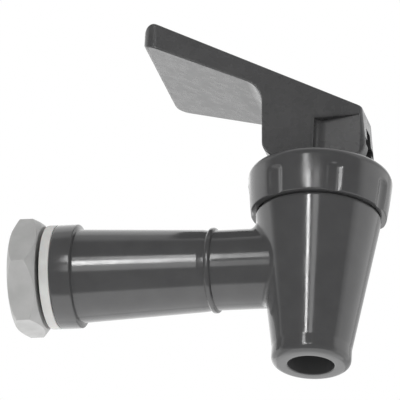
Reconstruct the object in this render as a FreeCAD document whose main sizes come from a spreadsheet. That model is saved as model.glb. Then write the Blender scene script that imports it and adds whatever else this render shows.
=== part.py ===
import FreeCAD, Part
import math
import os
import re
import Sketcher

# Coffee urn faucet: a cone-shaped valve body on a long shank, a fluted bonnet cap,
# and a fan-shaped handle that lifts a sprung stem when its paddle is pressed.
#
# Millimetres. The origin is the centre of the outlet's mouth, +Z runs up the cone's
# axis, and the shank points along -X towards the urn.

os.makedirs("parts", exist_ok=True)
doc = FreeCAD.newDocument("coffee_urn_faucet")

# Driving sizes
# Heights are above the outlet's mouth, and distances are from the cone's axis.

SIZES = {
    # Cone and outlet
    "outlet_bore_radius": 5.8,
    "lip_radius": 9.95,
    "lip_height": 6.3,
    "lip_step": 0.7,
    "lip_rounding": 1.9,
    "cone_foot_radius": 10.35,
    "cone_top_radius": 15.8,
    "cone_top_height": 40.2,
    "neck_radius": 15.2,
    "body_wall": 2.6,
    "neck_length": 4.4,
    "seat_height": 14,
    "seat_rim_width": 1.4,
    "seat_rim_depth": 1.2,
    # Shank
    "shank_drop": 13.3,
    "shank_radius": 10,
    "shank_bore_radius": 7,
    "junction_rounding": 1.9,
    "bead_distance": 25.7,
    "bead_width": 1.6,
    "bead_depth": 0.7,
    "bead_slope": 0.4,
    "sleeve_start": 28.3,
    "sleeve_start_radius": 10.25,
    "sleeve_end": 58.7,
    "sleeve_end_radius": 11.7,
    "flange_start": 60.3,
    "flange_radius": 13,
    "flange_thickness": 5.1,
    "flange_chamfer": 0.5,
    "stub_radius": 9.4,
    "stub_length": 10.6,
    "stub_chamfer": 0.8,
    # Washer and nut
    "washer_thickness": 2.5,
    "nut_gap": 1,
    "nut_thickness": 7,
    "nut_across_flats": 26.4,
    "nut_turn": 6.7,
    "nut_inner_face_radius": 12.8,
    "nut_inner_chamfer": 2.2,
    "nut_outer_face_radius": 13.2,
    "nut_outer_chamfer": 1.5,
    # Bonnet cap
    "cap_foot_gap": 0.2,
    "cap_rise": 7.2,
    "cap_foot_radius": 17,
    "cap_widest_radius": 18,
    "cap_shoulder_height": 2.2,
    "cap_shoulder_width": 1.85,
    "cap_foot_chamfer": 0.3,
    "cap_roof": 2.8,
    "flute_count": 7,
    "flute_first_angle": -66,
    "flute_radius": 3.7,
    "flute_depth": 0.7,
    "flute_length": 7.6,
    "flute_end_chamfer": 1.2,
    # Valve inside
    "cup_radius": 8.2,
    "cup_wall": 1.2,
    "cup_floor": 8,
    "cup_flange_thickness": 1.4,
    "cup_flange_radius": 14.9,
    "stem_radius": 3.5,
    "stem_neck_radius": 3,
    "stem_neck_length": 1.6,
    "stem_shoulder_radius": 6.3,
    "stem_shoulder_thickness": 2,
    "barb_radius": 4.6,
    "barb_tip_radius": 3.2,
    "barb_edge_height": 1.2,
    "barb_length": 2.9,
    "stem_head_rise": 3.2,
    "stem_head_chamfer": 0.8,
    "stem_head_thickness": 4.4,
    "stem_flat_length": 10.5,
    "spring_radius": 5.2,
    "spring_wire_radius": 0.6,
    "spring_pitch": 5.3,
    "spring_washer_thickness": 0.8,
    "spring_washer_radius": 6.9,
    "pocket_radius": 7.2,
    "pin_radius": 1.25,
    "pin_length": 9.2,
    # Handle
    "pin_above_foot": 6.5,
    "lift_per_radian": 7.5,
    "handle_length": 54.1,
    "handle_pitch": 20.5,
    "handle_underside_pitch": 17.9,
    "handle_rear": 10.95,
    "handle_rear_height": 8.65,
    "handle_tip_thickness": 6.7,
    "handle_tip_half_width": 20.1,
    "handle_rear_half_width": 6.2,
    "hub_front": 12.6,
    "hub_front_lean": 0.9,
    "hub_front_rounding": 3.8,
    "hub_rear": 12.25,
    "hub_rear_rounding": 5.5,
    "paddle_rounding": 6,
    "paddle_corner_rounding": 3,
    "tip_top_rounding": 1.4,
    "tip_underside_rounding": 1.8,
    "cheek_start": 0.3,
    "cheek_top": 4.95,
    "cheek_top_rise": 0.15,
    "cheek_corner_rounding": 2.4,
    "slot_front": 8.3,
    "slot_top": 4.5,
    "snap_neck": 0.2,
    # Clearances
    "running_gap": 0.05,
    "slot_gap": 0.1,
    "thread_gap": 0.15,
    "rubber_gap": 0.1,
    "cap_play": 0.3,
    "cap_side_gap": 0.25,
    "overcut": 1,
}

# Sizes that follow from others, as sheet expressions

SHANK_HEIGHT = "(cone_top_height - shank_drop)"
BODY_RIM = "(cone_top_height + neck_length)"
CAP_BOTTOM = "(cone_top_height + cap_foot_gap)"
CAP_TOP = f"({BODY_RIM} + cap_rise)"
CAP_SHOULDER = f"({CAP_TOP} - cap_shoulder_height)"
CAP_CEILING = f"({BODY_RIM} + cup_flange_thickness)"
POCKET_CEILING = f"({CAP_TOP} - cap_roof)"
CAP_BORE = "(neck_radius + cap_side_gap)"
FLANGE_END = "(flange_start + flange_thickness)"
WASHER_END = f"({FLANGE_END} + washer_thickness)"
NUT_START = f"({WASHER_END} + nut_gap)"
NUT_END = f"({NUT_START} + nut_thickness)"
STUB_END = f"({FLANGE_END} + stub_length)"
NUT_CORNER = "(nut_across_flats / 2 / cos(30))"
HUB_FOOT = f"({CAP_TOP} + cap_play)"
PIN_HEIGHT = f"({HUB_FOOT} + pin_above_foot)"
CUP_FLOOR = "(seat_height + cup_floor)"
SHOULDER_TOP = f"({CUP_FLOOR} + stem_shoulder_thickness)"
SPRING_TOP = f"({POCKET_CEILING} - spring_washer_thickness)"
STEM_TOP = f"({PIN_HEIGHT} + stem_head_rise)"
BARB_TOP = f"({CUP_FLOOR} - stem_neck_length)"

# The heel's arc has its centre beside and above the pin, so that the distance from
# pin to cap grows by lift_per_radian as the handle turns.
HEEL_CENTRE_RISE = "(0.176 * lift_per_radian)"
HEEL_RADIUS = f"(pin_above_foot + {HEEL_CENTRE_RISE})"

# How near the middle of a quarter arc comes to each of its two sides, as a share of
# its radius. A rounding with many long facets is drawn as two flats that meet there.
ARC_MIDDLE = 0.293

sheet = doc.addObject("Spreadsheet::Sheet", "sizes")
for row, (word, value) in enumerate(SIZES.items(), start=1):
    sheet.set(f"A{row}", word)
    sheet.set(f"B{row}", str(value))
    sheet.setAlias(f"B{row}", word)
doc.recompute()


def bound(words):
    """The same expression with every size's name pointing into the sheet."""
    return re.sub(
        r"[a-z_]+", lambda m: f"sizes.{m.group()}" if m.group() in SIZES else m.group(), words
    )


def number(words):
    """The value of an expression of sizes."""
    value = sheet.evalExpression(bound(words))
    return float(getattr(value, "Value", value))


def bind(thing, name, words):
    """Tie one property of an object to the sheet."""
    thing.setExpression(name, bound(words))


# Sketches and features


def new_body(label):
    body = doc.addObject("PartDesign::Body", label)
    body.Label = label
    return body


def origin_part(body, role):
    for feature in body.Origin.OriginFeatures:
        if feature.Role == role:
            return feature
    raise ValueError(role)


def outline(body, name, plane, corners, across="0", up="0", off="0", lean="0"):
    """A closed outline on an origin plane, its origin moved by across, up and off.

    It leans clockwise about its own origin by lean, in degrees.

    A corner is a pair of expressions. A third and fourth item make the edge that
    leaves it an arc, "ccw" or "cw", of that radius.
    """
    sketch = body.newObject("Sketcher::SketchObject", name)
    sketch.AttachmentSupport = (origin_part(body, plane), [""])
    sketch.MapMode = "FlatFace"
    for letter, words in (("x", across), ("y", up), ("z", off)):
        bind(sketch, f"AttachmentOffset.Base.{letter}", words)
    bind(sketch, "AttachmentOffset.Rotation.Angle", f"-({lean})")
    points = [FreeCAD.Vector(number(c[0]), number(c[1]), 0) for c in corners]
    ends = []
    for i, corner in enumerate(corners):
        start, end = points[i], points[(i + 1) % len(points)]
        turn = corner[2] if len(corner) > 2 else "straight"
        if turn == "straight":
            sketch.addGeometry(Part.LineSegment(start, end), False)
        else:
            sketch.addGeometry(arc_between(start, end, number(corner[3]), turn), False)
        ends.append((2, 1) if turn == "cw" else (1, 2))
    for i in range(len(points)):
        after = (i + 1) % len(points)
        sketch.addConstraint(
            Sketcher.Constraint("Coincident", i, ends[i][1], after, ends[after][0])
        )
    for i, corner in enumerate(corners):
        for word, words, value in (
            ("DistanceX", corner[0], points[i].x),
            ("DistanceY", corner[1], points[i].y),
        ):
            k = sketch.addConstraint(Sketcher.Constraint(word, -1, 1, i, ends[i][0], value))
            bind(sketch, f"Constraints[{k}]", words)
        if len(corner) > 2:
            k = sketch.addConstraint(Sketcher.Constraint("Radius", i, number(corner[3])))
            bind(sketch, f"Constraints[{k}]", corner[3])
    return sketch


def arc_between(start, end, radius, turn):
    """The shorter arc from start to end, turning ccw or cw."""
    chord = end - start
    half = chord.Length / 2
    rise = max(radius * radius - half * half, 0) ** 0.5
    side = FreeCAD.Vector(-chord.y, chord.x, 0).normalize()
    centre = (start + end) / 2 + side * (rise if turn == "ccw" else -rise)
    circle = Part.Circle(centre, FreeCAD.Vector(0, 0, 1), radius)
    first, last = (start, end) if turn == "ccw" else (end, start)
    a = circle.parameter(first)
    b = circle.parameter(last)
    return Part.ArcOfCircle(circle, a, b if b > a else b + math.tau)


def circle(body, name, plane, radius, across="0", up="0", off="0"):
    """A full circle about the sketch's own origin."""
    sketch = body.newObject("Sketcher::SketchObject", name)
    sketch.AttachmentSupport = (origin_part(body, plane), [""])
    sketch.MapMode = "FlatFace"
    for letter, words in (("x", across), ("y", up), ("z", off)):
        bind(sketch, f"AttachmentOffset.Base.{letter}", words)
    ring = Part.Circle(FreeCAD.Vector(0, 0, 0), FreeCAD.Vector(0, 0, 1), number(radius))
    sketch.addGeometry(ring, False)
    sketch.addConstraint(Sketcher.Constraint("Coincident", 0, 3, -1, 1))
    k = sketch.addConstraint(Sketcher.Constraint("Radius", 0, number(radius)))
    bind(sketch, f"Constraints[{k}]", radius)
    return sketch


def turned(body, name, sketch, axis, cut=False):
    """Revolve an outline about its sketch's V_Axis or H_Axis, to add or to cut."""
    kind = "PartDesign::Groove" if cut else "PartDesign::Revolution"
    feature = body.newObject(kind, name)
    feature.Profile = sketch
    feature.ReferenceAxis = (sketch, [axis])
    feature.Angle = 360
    return checked(body, feature, cut)


def pushed(body, name, sketch, length, cut=False):
    """Extrude an outline by length, half to each side of its plane."""
    feature = body.newObject("PartDesign::Pocket" if cut else "PartDesign::Pad", name)
    feature.Profile = sketch
    feature.SideType = "Symmetric"
    bind(feature, "Length", length)
    return checked(body, feature, cut)


def checked(body, feature, cut):
    """Recompute, and stop where a feature failed or a cut took nothing away."""
    before = feature.BaseFeature.Shape.Volume if feature.BaseFeature else 0
    doc.recompute()
    if not feature.isValid() or feature.Shape.isNull():
        raise RuntimeError(f"{feature.Label} failed: {feature.State}")
    if cut and feature.Shape.Volume > before - 1e-6:
        raise RuntimeError(f"{feature.Label} cuts nothing")
    body.Tip = feature
    return feature


def edges_through(feature, places):
    """Names of the edges that pass through the given places."""
    names = []
    for place in places:
        spot = Part.Vertex(FreeCAD.Vector(*[number(words) for words in place]))
        found = [
            f"Edge{i}"
            for i, edge in enumerate(feature.Shape.Edges, start=1)
            if edge.distToShape(spot)[0] < 0.01
        ]
        if not found:
            raise RuntimeError(f"no edge of {feature.Label} at {place}")
        names += [name for name in found if name not in names]
    return names


def rounded(body, name, base, names, radius):
    feature = body.newObject("PartDesign::Fillet", name)
    feature.Base = (base, names)
    bind(feature, "Radius", radius)
    return checked(body, feature, False)


# Valve body: cone, shank, flange and threaded stub, moulded as one piece


def make_faucet_body():
    body = new_body("faucet_body")
    cone = outline(
        body,
        "cone_outline",
        "XZ_Plane",
        [
            ("0", "0"),
            ("lip_radius - lip_rounding", "0"),
            (f"lip_radius - {ARC_MIDDLE} * lip_rounding", f"{ARC_MIDDLE} * lip_rounding"),
            ("lip_radius", "lip_rounding"),
            ("lip_radius", "lip_height"),
            ("cone_foot_radius", "lip_height + lip_step"),
            ("cone_top_radius", "cone_top_height"),
            ("neck_radius", "cone_top_height"),
            ("neck_radius", BODY_RIM),
            ("0", BODY_RIM),
        ],
    )
    turned(body, "cone", cone, "V_Axis")
    bead_inner = "-(bead_distance - bead_width / 2)"
    bead_outer = "-(bead_distance + bead_width / 2)"
    shank = outline(
        body,
        "shank_outline",
        "XZ_Plane",
        [
            ("0", "0"),
            ("0", "shank_radius"),
            (bead_inner, "shank_radius"),
            (f"{bead_inner} - bead_slope", "shank_radius + bead_depth"),
            (f"{bead_outer} + bead_slope", "shank_radius + bead_depth"),
            (bead_outer, "shank_radius"),
            ("-sleeve_start", "sleeve_start_radius"),
            ("-sleeve_end", "sleeve_end_radius"),
            ("-flange_start", "flange_radius"),
            (f"-({FLANGE_END} - flange_chamfer)", "flange_radius"),
            (f"-{FLANGE_END}", "flange_radius - flange_chamfer"),
            (f"-{FLANGE_END}", "stub_radius"),
            (f"-({STUB_END} - stub_chamfer)", "stub_radius"),
            (f"-{STUB_END}", "stub_radius - stub_chamfer"),
            (f"-{STUB_END}", "0"),
        ],
        up=SHANK_HEIGHT,
    )
    outer = turned(body, "shank", shank, "H_Axis")
    seam = [
        f"Edge{i}"
        for i, edge in enumerate(outer.Shape.Edges, start=1)
        if not isinstance(edge.Curve, (Part.Line, Part.Circle)) and edge.Length > 5
    ]
    rounded(body, "junction", outer, seam, "junction_rounding")

    chamber_foot = "(cone_foot_radius + (cone_top_radius - cone_foot_radius)"
    chamber_foot += " * (seat_height - lip_height) / (cone_top_height - lip_height) - body_wall)"
    chamber = outline(
        body,
        "chamber_outline",
        "XZ_Plane",
        [
            ("0", "-overcut"),
            ("outlet_bore_radius", "-overcut"),
            ("outlet_bore_radius", "seat_height"),
            ("outlet_bore_radius + seat_rim_width", "seat_height"),
            ("outlet_bore_radius + seat_rim_width", "seat_height - seat_rim_depth"),
            (chamber_foot, "seat_height - seat_rim_depth"),
            ("neck_radius - body_wall", "cone_top_height"),
            ("neck_radius - body_wall", f"{BODY_RIM} + overcut"),
            ("0", f"{BODY_RIM} + overcut"),
        ],
    )
    turned(body, "chamber", chamber, "V_Axis", cut=True)
    bore = outline(
        body,
        "shank_bore_outline",
        "XZ_Plane",
        [
            ("-outlet_bore_radius", "0"),
            ("-outlet_bore_radius", "shank_bore_radius"),
            (f"-({STUB_END} + overcut)", "shank_bore_radius"),
            (f"-({STUB_END} + overcut)", "0"),
        ],
        up=SHANK_HEIGHT,
    )
    turned(body, "shank_bore", bore, "H_Axis", cut=True)
    return body


# Bonnet cap: a turned cup with flutes for the fingers


def make_bonnet_cap():
    body = new_body("bonnet_cap")
    guide = "(stem_radius + running_gap)"
    ring = outline(
        body,
        "cap_outline",
        "XZ_Plane",
        [
            ("cap_foot_radius - cap_foot_chamfer", CAP_BOTTOM),
            ("cap_foot_radius", f"{CAP_BOTTOM} + cap_foot_chamfer"),
            ("cap_widest_radius", CAP_SHOULDER),
            (
                f"cap_widest_radius - {ARC_MIDDLE} * cap_shoulder_width",
                f"{CAP_TOP} - {ARC_MIDDLE} * cap_shoulder_height",
            ),
            ("cap_widest_radius - cap_shoulder_width", CAP_TOP),
            (guide, CAP_TOP),
            (guide, POCKET_CEILING),
            ("pocket_radius", POCKET_CEILING),
            ("pocket_radius", CAP_CEILING),
            (CAP_BORE, CAP_CEILING),
            (CAP_BORE, CAP_BOTTOM),
        ],
    )
    turned(body, "cap", ring, "V_Axis")

    half = outline(
        body,
        "flute_outline",
        "XZ_Plane",
        [
            ("0", "-overcut"),
            ("flute_radius", "-overcut"),
            ("flute_radius", "flute_length - flute_end_chamfer"),
            ("flute_radius - flute_end_chamfer", "flute_length"),
            ("0", "flute_length"),
        ],
        across="cap_foot_radius - flute_depth + flute_radius",
        up=CAP_BOTTOM,
        lean=f"atan((cap_widest_radius - cap_foot_radius) / ({CAP_SHOULDER} - {CAP_BOTTOM}))",
    )
    flute = turned(body, "flute", half, "V_Axis", cut=True)
    flutes = body.newObject("PartDesign::PolarPattern", "flutes")
    flutes.Originals = [flute]
    flutes.Axis = (origin_part(body, "Z_Axis"), [""])
    flutes.Angle = 360
    bind(flutes, "Occurrences", "flute_count")
    body.Tip = flutes
    doc.recompute()
    bind(body, "Placement.Rotation.Angle", "flute_first_angle")
    return body


# Washer and nut on the threaded stub


def make_sealing_washer():
    body = new_body("sealing_washer")
    hole = "stub_radius + thread_gap"
    ring = outline(
        body,
        "washer_outline",
        "XZ_Plane",
        [
            (f"-{FLANGE_END}", hole),
            (f"-{FLANGE_END}", "flange_radius"),
            (f"-{WASHER_END}", "flange_radius"),
            (f"-{WASHER_END}", hole),
        ],
        up=SHANK_HEIGHT,
    )
    turned(body, "washer", ring, "H_Axis")
    return body


def make_shank_nut():
    body = new_body("shank_nut")
    middle = f"-(({NUT_START} + {NUT_END}) / 2)"
    corners = [
        (
            f"{NUT_CORNER} * cos(180 + nut_turn + {60 * i})",
            f"{NUT_CORNER} * sin(180 + nut_turn + {60 * i})",
        )
        for i in range(6)
    ]
    hexagon = outline(body, "hexagon", "YZ_Plane", corners, up=SHANK_HEIGHT, off=middle)
    pushed(body, "nut", hexagon, "nut_thickness")
    hole = circle(
        body, "hole", "YZ_Plane", "stub_radius + thread_gap", up=SHANK_HEIGHT, off=middle
    )
    pushed(body, "thread_hole", hole, "nut_thickness + overcut", cut=True)
    for name, face, toward, face_radius, depth in (
        ("inner_chamfer", NUT_START, "+", "nut_inner_face_radius", "nut_inner_chamfer"),
        ("outer_chamfer", NUT_END, "-", "nut_outer_face_radius", "nut_outer_chamfer"),
    ):
        beyond = "-" if toward == "+" else "+"
        corner = outline(
            body,
            f"{name}_outline",
            "XZ_Plane",
            [
                (f"-{face}", face_radius),
                (f"-({face} {toward} {depth})", f"{NUT_CORNER}"),
                (f"-({face} {toward} {depth})", f"{NUT_CORNER} + overcut"),
                (f"-({face} {beyond} overcut)", f"{NUT_CORNER} + overcut"),
                (f"-({face} {beyond} overcut)", face_radius),
            ],
            up=SHANK_HEIGHT,
        )
        turned(body, name, corner, "H_Axis", cut=True)
    return body


# Valve inside: silicone cup, lift stem, spring and its washer


def make_seat_cup():
    body = new_body("seat_cup")
    inner = "(cup_radius - cup_wall)"
    ring = outline(
        body,
        "cup_outline",
        "XZ_Plane",
        [
            ("0", "seat_height"),
            ("cup_radius", "seat_height"),
            ("cup_radius", BODY_RIM),
            ("cup_flange_radius", BODY_RIM),
            ("cup_flange_radius", CAP_CEILING),
            (inner, CAP_CEILING),
            (inner, CUP_FLOOR),
            ("stem_neck_radius + rubber_gap", CUP_FLOOR),
            ("stem_neck_radius + rubber_gap", f"{BARB_TOP} + rubber_gap"),
            ("barb_radius + rubber_gap", f"{BARB_TOP} + rubber_gap"),
            ("barb_radius + rubber_gap", f"{BARB_TOP} - barb_length - rubber_gap"),
            ("0", f"{BARB_TOP} - barb_length - rubber_gap"),
        ],
    )
    turned(body, "cup", ring, "V_Axis")
    return body


def make_stem():
    body = new_body("stem")
    half = outline(
        body,
        "stem_outline",
        "XZ_Plane",
        [
            ("0", f"{BARB_TOP} - barb_length"),
            ("barb_tip_radius", f"{BARB_TOP} - barb_length"),
            ("barb_radius", f"{BARB_TOP} - barb_edge_height"),
            ("barb_radius", BARB_TOP),
            ("stem_neck_radius", BARB_TOP),
            ("stem_neck_radius", CUP_FLOOR),
            ("stem_shoulder_radius", CUP_FLOOR),
            ("stem_shoulder_radius", SHOULDER_TOP),
            ("stem_radius", SHOULDER_TOP),
            ("stem_radius", f"{STEM_TOP} - stem_head_chamfer"),
            ("stem_radius - stem_head_chamfer", STEM_TOP),
            ("0", STEM_TOP),
        ],
    )
    turned(body, "stem_turned", half, "V_Axis")
    for side, sign in (("near", ""), ("far", "-")):
        flat = outline(
            body,
            f"{side}_flat_outline",
            "XZ_Plane",
            [
                ("-stem_radius - overcut", f"{PIN_HEIGHT} - stem_flat_length"),
                ("stem_radius + overcut", f"{PIN_HEIGHT} - stem_flat_length"),
                ("stem_radius + overcut", f"{STEM_TOP} + overcut"),
                ("-stem_radius - overcut", f"{STEM_TOP} + overcut"),
            ],
            off=f"{sign}(stem_head_thickness / 2 + stem_radius / 2)",
        )
        pushed(body, f"{side}_flat", flat, "stem_radius", cut=True)
    eye = circle(body, "eye_outline", "XZ_Plane", "pin_radius + running_gap", up=PIN_HEIGHT)
    pushed(body, "pin_eye", eye, "stem_head_thickness + overcut", cut=True)
    return body


def make_spring_washer():
    body = new_body("spring_washer")
    ring = outline(
        body,
        "washer_outline",
        "XZ_Plane",
        [
            ("stem_radius + slot_gap", SPRING_TOP),
            ("spring_washer_radius", SPRING_TOP),
            ("spring_washer_radius", POCKET_CEILING),
            ("stem_radius + slot_gap", POCKET_CEILING),
        ],
    )
    turned(body, "washer", ring, "V_Axis")
    return body


def make_stem_spring():
    """A wire wound on a helix, its two ends ground flat.

    It is hidden, so the wire is an eight-sided bar in short straight runs.
    """
    runs_per_turn = 16
    wire_sides = 8
    radius = number("spring_radius")
    foot = number(SHOULDER_TOP)
    height = number(f"{SPRING_TOP} - {SHOULDER_TOP}")
    runs = round(height / number("spring_pitch") * runs_per_turn)
    places = []
    for i in range(runs + 1):
        turn = math.tau * i / runs_per_turn
        rise = height * i / runs
        places.append(
            FreeCAD.Vector(radius * math.cos(turn), radius * math.sin(turn), foot + rise)
        )
    spine = doc.addObject("Part::Polygon", "spring_path")
    spine.Nodes = places
    spine.Close = False
    wire = doc.addObject("Part::RegularPolygon", "spring_wire")
    wire.Polygon = wire_sides
    bind(wire, "Circumradius", "spring_wire_radius")
    first_run = places[1] - places[0]
    wire.Placement = FreeCAD.Placement(
        places[0], FreeCAD.Rotation(FreeCAD.Vector(0, 0, 1), first_run)
    )
    coil = doc.addObject("Part::Sweep", "spring_coil")
    coil.Sections = [wire]
    coil.Spine = (spine, [f"Edge{i + 1}" for i in range(runs)])
    coil.Solid = True
    coil.Transition = "Right corner"
    room = doc.addObject("Part::Cylinder", "spring_room")
    bind(room, "Radius", "spring_radius + spring_wire_radius + overcut")
    bind(room, "Height", f"{SPRING_TOP} - {SHOULDER_TOP}")
    bind(room, "Placement.Base.z", SHOULDER_TOP)
    spring = doc.addObject("Part::Common", "stem_spring")
    spring.Base = coil
    spring.Tool = room
    spring.Label = "stem_spring"
    doc.recompute()
    return spring


# Handle: fan-shaped paddle, hub with its cam heel, and the yoke that snaps on the pin


def make_lever_handle():
    body = new_body("lever_handle")
    tip = "(handle_rear - handle_length)"
    rear_top = f"({PIN_HEIGHT} + handle_rear_height)"
    tip_top = f"({rear_top} + handle_length * tan(handle_pitch))"
    tip_bottom = f"({tip_top} - handle_tip_thickness)"
    front_top = "(-hub_front - hub_front_lean)"
    front_top_height = f"({tip_bottom} - ({front_top} - {tip}) * tan(handle_underside_pitch))"
    heel_reach = "(hub_front - lift_per_radian)"
    heel_end = f"({PIN_HEIGHT} + {HEEL_CENTRE_RISE}"
    heel_end += f" - sqrt({HEEL_RADIUS} * {HEEL_RADIUS} - {heel_reach} * {heel_reach}))"
    side = outline(
        body,
        "side_outline",
        "XZ_Plane",
        [
            ("handle_rear", rear_top),
            (tip, tip_top),
            (tip, tip_bottom),
            (front_top, front_top_height),
            ("-hub_front", heel_end, "ccw", HEEL_RADIUS),
            ("-lift_per_radian", HUB_FOOT),
            ("hub_rear - hub_rear_rounding", HUB_FOOT, "ccw", "hub_rear_rounding"),
            ("hub_rear", f"{HUB_FOOT} + hub_rear_rounding"),
        ],
    )
    slab = pushed(body, "side_profile", side, "2 * handle_tip_half_width")
    heel = edges_through(slab, [("-hub_front", "0", heel_end)])
    soft_heel = rounded(body, "heel_corner", slab, heel, "hub_front_rounding")
    inner = edges_through(soft_heel, [(front_top, "0", front_top_height)])
    soft = rounded(body, "paddle_root", soft_heel, inner, "paddle_rounding")
    for name, height in (("tip_top", tip_top), ("tip_underside", tip_bottom)):
        edge = edges_through(soft, [(tip, "0", height)])
        soft = rounded(body, f"{name}_edge", soft, edge, f"{name}_rounding")

    spread = "((handle_tip_half_width - handle_rear_half_width) / handle_length)"
    flank_angle = f"atan({spread})"
    tangent = f"(paddle_corner_rounding * (1 + sin({flank_angle})) / cos({flank_angle}))"
    room = "(handle_length + 2 * overcut)"
    for name, sign, turn in (("near", "-", "cw"), ("far", "", "ccw")):
        flank = outline(
            body,
            f"{name}_flank_outline",
            "XY_Plane",
            [
                (tip, f"{sign}(handle_tip_half_width - {tangent})"),
                (f"{tip} - overcut", f"{sign}(handle_tip_half_width - {tangent})"),
                (f"{tip} - overcut", f"{sign}(handle_tip_half_width + 2 * overcut)"),
                ("hub_rear + overcut", f"{sign}(handle_tip_half_width + 2 * overcut)"),
                (
                    "hub_rear + overcut",
                    f"{sign}(handle_rear_half_width"
                    f" - {spread} * (hub_rear + overcut - handle_rear))",
                ),
                (
                    f"{tip} + {tangent} * cos({flank_angle})",
                    f"{sign}(handle_tip_half_width - {tangent} * sin({flank_angle}))",
                    turn,
                    "paddle_corner_rounding",
                ),
            ],
            off=f"({tip_top} + {HUB_FOOT}) / 2",
        )
        pushed(body, f"{name}_flank", flank, room, cut=True)

    recess_depth = "handle_tip_half_width"
    cheek_top = f"({PIN_HEIGHT} + cheek_top)"
    for name, sign in (("near", ""), ("far", "-")):
        recess = outline(
            body,
            f"{name}_cheek_outline",
            "XZ_Plane",
            [
                ("-cheek_start", f"{HUB_FOOT} - overcut"),
                ("hub_rear + overcut", f"{HUB_FOOT} - overcut"),
                (
                    "hub_rear + overcut",
                    f"{cheek_top} + cheek_top_rise * (hub_rear + overcut + cheek_start)",
                ),
                ("-cheek_start", cheek_top),
            ],
            off=f"{sign}(handle_rear_half_width + {recess_depth} / 2)",
        )
        pushed(body, f"{name}_cheek", recess, recess_depth, cut=True)

    yoke = outline(
        body,
        "slot_outline",
        "XZ_Plane",
        [
            ("-slot_front", f"{HUB_FOOT} - overcut"),
            ("hub_rear + overcut", f"{HUB_FOOT} - overcut"),
            ("hub_rear + overcut", f"{PIN_HEIGHT} + slot_top"),
            ("-slot_front", f"{PIN_HEIGHT} + slot_top"),
        ],
    )
    pushed(body, "slot", yoke, "stem_head_thickness + 2 * slot_gap", cut=True)
    socket = circle(body, "socket_outline", "XZ_Plane", "pin_radius + slot_gap", up=PIN_HEIGHT)
    pushed(body, "pin_socket", socket, "pin_length + 2 * slot_gap", cut=True)
    way_in = outline(
        body,
        "way_in_outline",
        "XZ_Plane",
        [
            ("0", f"{PIN_HEIGHT} - pin_radius + snap_neck"),
            ("hub_rear + overcut", f"{PIN_HEIGHT} - pin_radius + snap_neck"),
            ("hub_rear + overcut", f"{PIN_HEIGHT} + pin_radius - snap_neck"),
            ("0", f"{PIN_HEIGHT} + pin_radius - snap_neck"),
        ],
    )
    last = pushed(body, "pin_way_in", way_in, "pin_length + 2 * slot_gap", cut=True)

    cheek = "handle_rear_half_width"
    inner_corners = edges_through(
        last, [("-cheek_start", f"-{cheek}", PIN_HEIGHT), ("-cheek_start", cheek, PIN_HEIGHT)]
    )
    rounded(body, "cheek_corners", last, inner_corners, "cheek_corner_rounding")
    return body


def make_lever_pin():
    body = new_body("lever_pin")
    round_pin = circle(body, "pin_outline", "XZ_Plane", "pin_radius", up=PIN_HEIGHT)
    pushed(body, "pin", round_pin, "pin_length")
    return body


MAKERS = (
    make_faucet_body,
    make_bonnet_cap,
    make_sealing_washer,
    make_shank_nut,
    make_seat_cup,
    make_stem,
    make_spring_washer,
    make_stem_spring,
    make_lever_handle,
    make_lever_pin,
)

pieces = [make() for make in MAKERS]
doc.recompute()

for thing in doc.Objects:
    if "Invalid" in thing.State or "Error" in thing.State:
        raise RuntimeError(f"{thing.Label} is {thing.State}")

for piece in pieces:
    if piece.Shape.isNull() or not piece.Shape.isValid() or not piece.Shape.Solids:
        raise RuntimeError(f"{piece.Label} has no valid solid")
    piece.Shape.exportStep(f"parts/{piece.Label}.step")
    print(piece.Label, len(piece.Shape.Solids), round(piece.Shape.Volume, 1))
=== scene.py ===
import math

import bmesh
import bpy
from mathutils import Matrix, Vector


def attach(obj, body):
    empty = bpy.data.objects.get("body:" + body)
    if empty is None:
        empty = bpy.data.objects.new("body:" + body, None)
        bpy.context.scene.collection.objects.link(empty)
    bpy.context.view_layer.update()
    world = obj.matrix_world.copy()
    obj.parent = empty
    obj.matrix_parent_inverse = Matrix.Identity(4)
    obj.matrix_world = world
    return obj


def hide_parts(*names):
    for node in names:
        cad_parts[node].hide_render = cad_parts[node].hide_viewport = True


# The looks of the coffee urn faucet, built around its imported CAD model.
# Sizes below are in millimetres, in the CAD's frame, and meshes are in metres.

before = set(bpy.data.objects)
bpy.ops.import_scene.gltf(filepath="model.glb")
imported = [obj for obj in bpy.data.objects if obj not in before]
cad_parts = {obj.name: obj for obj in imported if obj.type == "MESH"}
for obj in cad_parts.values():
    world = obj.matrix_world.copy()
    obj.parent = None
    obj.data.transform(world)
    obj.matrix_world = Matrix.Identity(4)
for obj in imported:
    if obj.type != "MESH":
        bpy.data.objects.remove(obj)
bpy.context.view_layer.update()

MM = 0.001

# The cone of the valve body, from the outlet's lip up to the neck
OUTLET_BORE = 5.8
LIP_RADIUS = 9.95
LIP_HEIGHT = 6.3
LIP_STEP = 0.7
LIP_ROUNDING = 1.9
CONE_FOOT = 10.35
CONE_TOP = 15.8
CONE_TOP_HEIGHT = 40.2
NECK_RADIUS = 15.2
BODY_RIM = 44.6
WALL = 2.6
SEAT_HEIGHT = 14.0
SEAT_RIM_WIDTH = 1.4
SEAT_RIM_DEPTH = 1.2
LIP_BEND = 6.0
MOUTH_ROUNDING = 0.35
CONE_TOP_ROUNDING = 0.7
FINE_ROUNDING = 0.2
BORE_OVERLAP = 2.0
BRANCH_LOW = 12.6
BRANCH_HIGH = CONE_TOP_HEIGHT - 0.75

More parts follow.
